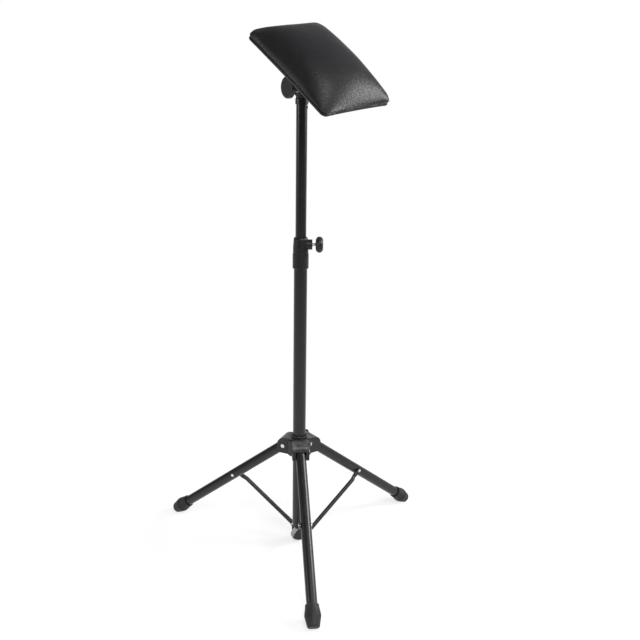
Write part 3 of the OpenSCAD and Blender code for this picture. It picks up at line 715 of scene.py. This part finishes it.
def swollen_block():
    """The smaller block after the cloth has swollen it, smoothed, in the pad's frame."""
    start = pad_points.copy()
    over = start[:, 2] > edge_h
    start[over, 2] = edge_h + (start[over, 2] - edge_h) * block_share
    block = new_piece("foam_block", start, pad_faces, leatherette)
    remesh = block.modifiers.new("remesh", "REMESH")
    remesh.mode = "VOXEL"
    remesh.voxel_size = voxel
    apply_modifier(block, "remesh")
    rest = positions(block)
    held = block.vertex_groups.new(name="held")
    held.add(np.flatnonzero(rest[:, 2] < hold_below).tolist(), 1.0, "REPLACE")
    cloth = block.modifiers.new("swell", "CLOTH")
    for name, value in COVER.items():
        setattr(cloth.settings, name, value)
    cloth.settings.use_pressure = True
    cloth.settings.uniform_pressure_force = swell_pressure
    cloth.settings.vertex_group_mass = "held"
    cloth.settings.effector_weights.gravity = 0
    cloth.collision_settings.use_self_collision = False
    for f in range(1, swell_frames + 1):
        scene.frame_set(f)
    apply_modifier(block, "swell")
    scene.frame_set(1)
    moved = positions(block) - rest
    length = np.linalg.norm(moved, axis=1, keepdims=True)
    moved *= np.minimum(1, swell_cap / np.maximum(length, least_move))
    set_positions(block, rest + moved)
    mean, most = length.mean() / MM, length.max() / MM
    print("swelling of", len(rest), "points: mean %.2f mm, most %.2f mm" % (mean, most))
    fine = block.modifiers.new("fine", "SUBSURF")
    fine.levels = fine.render_levels = smooth_levels
    apply_modifier(block, "fine")
    return block


def take_up(piece, block):
    """The piece's dome laid on the block, and less and less of it towards the crease."""
    z = positions(piece)[:, 2]
    share = smooth_step((z - dome_from) / (dome_to - dome_from))
    group = piece.vertex_groups.new(name="dome")
    for k in range(1, wrap_steps + 1):
        held = np.flatnonzero(np.round(share * wrap_steps) == k).tolist()
        group.add(held, k / wrap_steps, "REPLACE")
    wrap = piece.modifiers.new("wrap", "SHRINKWRAP")
    wrap.target = block
    wrap.wrap_method = "NEAREST_SURFACEPOINT"
    wrap.vertex_group = "dome"
    apply_modifier(piece, "wrap")
    piece.vertex_groups.clear()


cushion = new_piece("leatherette_cushion", pad_points, pad_faces, leatherette)
block = swollen_block()
take_up(cushion, block)
bpy.data.objects.remove(block, do_unlink=True)
set_positions(cushion, into(PAD_FRAME, folded(positions(cushion))))

# %% Declaring the cushion
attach(cushion, "rest")
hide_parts("pad_cushion")
print("cushion box", [round(v * 1000) for v in cushion.dimensions], "mm")

# %% [markdown]
# ## Floor
#
# The floor is a white sheet. Light falls on it as on plain pale paint, and mirrors see
# it fade into the dim room. The camera sees the stand's faint shadow, lifted to white,
# which fades further out into the plain white of the studio.

# %% Floor
floor_half = 12.0
floor_albedo = 0.8
shadow_albedo = 0.4
shadow_lift = 0.69
shadow_near, shadow_far = 0.35, 0.95
sheet_near, sheet_far = 0.9, 3.6
behind_from, behind_to = 0.3, 1.5


def diffuse(tree, level):
    return add(tree, "ShaderNodeBsdfDiffuse", i_Color=(*grey(level), 1))


def from_mast(tree):
    """Distance of a point of the floor from the mast's foot."""
    node = add(tree, "ShaderNodeVectorMath", operation="DISTANCE")
    node.inputs[1].default_value = MAST
    tree.links.new(surface_coordinates(tree), node.inputs[0])
    return node.outputs["Value"]


def seen_floor(tree, distance):
    """For the camera: the stand's shadow lifted to white, and plain white further out."""
    lifted = add(tree, "ShaderNodeAddShader")
    tree.links.new(diffuse(tree, shadow_albedo).outputs[0], lifted.inputs[0])
    lift = add(tree, "ShaderNodeEmission", i_Strength=shadow_lift)
    tree.links.new(lift.outputs[0], lifted.inputs[1])
    white = add(tree, "ShaderNodeEmission", i_Strength=1.0)
    mix = add(tree, "ShaderNodeMixShader")
    tree.links.new(ranged(tree, distance, shadow_near, shadow_far), mix.inputs["Fac"])
    tree.links.new(lifted.outputs[0], mix.inputs[1])
    tree.links.new(white.outputs[0], mix.inputs[2])
    return mix


def mirrored_floor(tree, distance):
    """For mirrors: a white sheet that fades into the dim room, but not behind the stand."""
    sheet = add(tree, "ShaderNodeEmission")
    fade = ranged(tree, distance, sheet_near, sheet_far, 1.0, room_dark, how="LINEAR")
    place = add(tree, "ShaderNodeSeparateXYZ")
    tree.links.new(surface_coordinates(tree), place.inputs[0])
    behind = ranged(tree, place.outputs["Y"], behind_from, behind_to)
    tree.links.new(math_of(tree, "MAXIMUM", fade, behind), sheet.inputs["Strength"])
    return sheet


def floor_material():
    material = bpy.data.materials.new("floor_white")
    material.use_nodes = True
    tree = material.node_tree
    tree.nodes.clear()
    distance = from_mast(tree)
    mirrored = chosen(tree, "Is Glossy Ray", diffuse(tree, floor_albedo), mirrored_floor(tree, distance))
    last = chosen(tree, "Is Camera Ray", mirrored, seen_floor(tree, distance))
    out = add(tree, "ShaderNodeOutputMaterial")
    tree.links.new(last.outputs[0], out.inputs["Surface"])
    return material


def backdrop():
    """A wide sheet on the floor, under the stand and the camera."""
    mesh = bpy.data.meshes.new("floor")
    corners = [(-1, -1, 0), (1, -1, 0), (1, 1, 0), (-1, 1, 0)]
    mesh.from_pydata([(x * floor_half, y * floor_half, z) for x, y, z in corners], [], [(0, 1, 2, 3)])
    floor = bpy.data.objects.new("floor", mesh)
    scene.collection.objects.link(floor)
    floor.data.materials.append(floor_material())


backdrop()
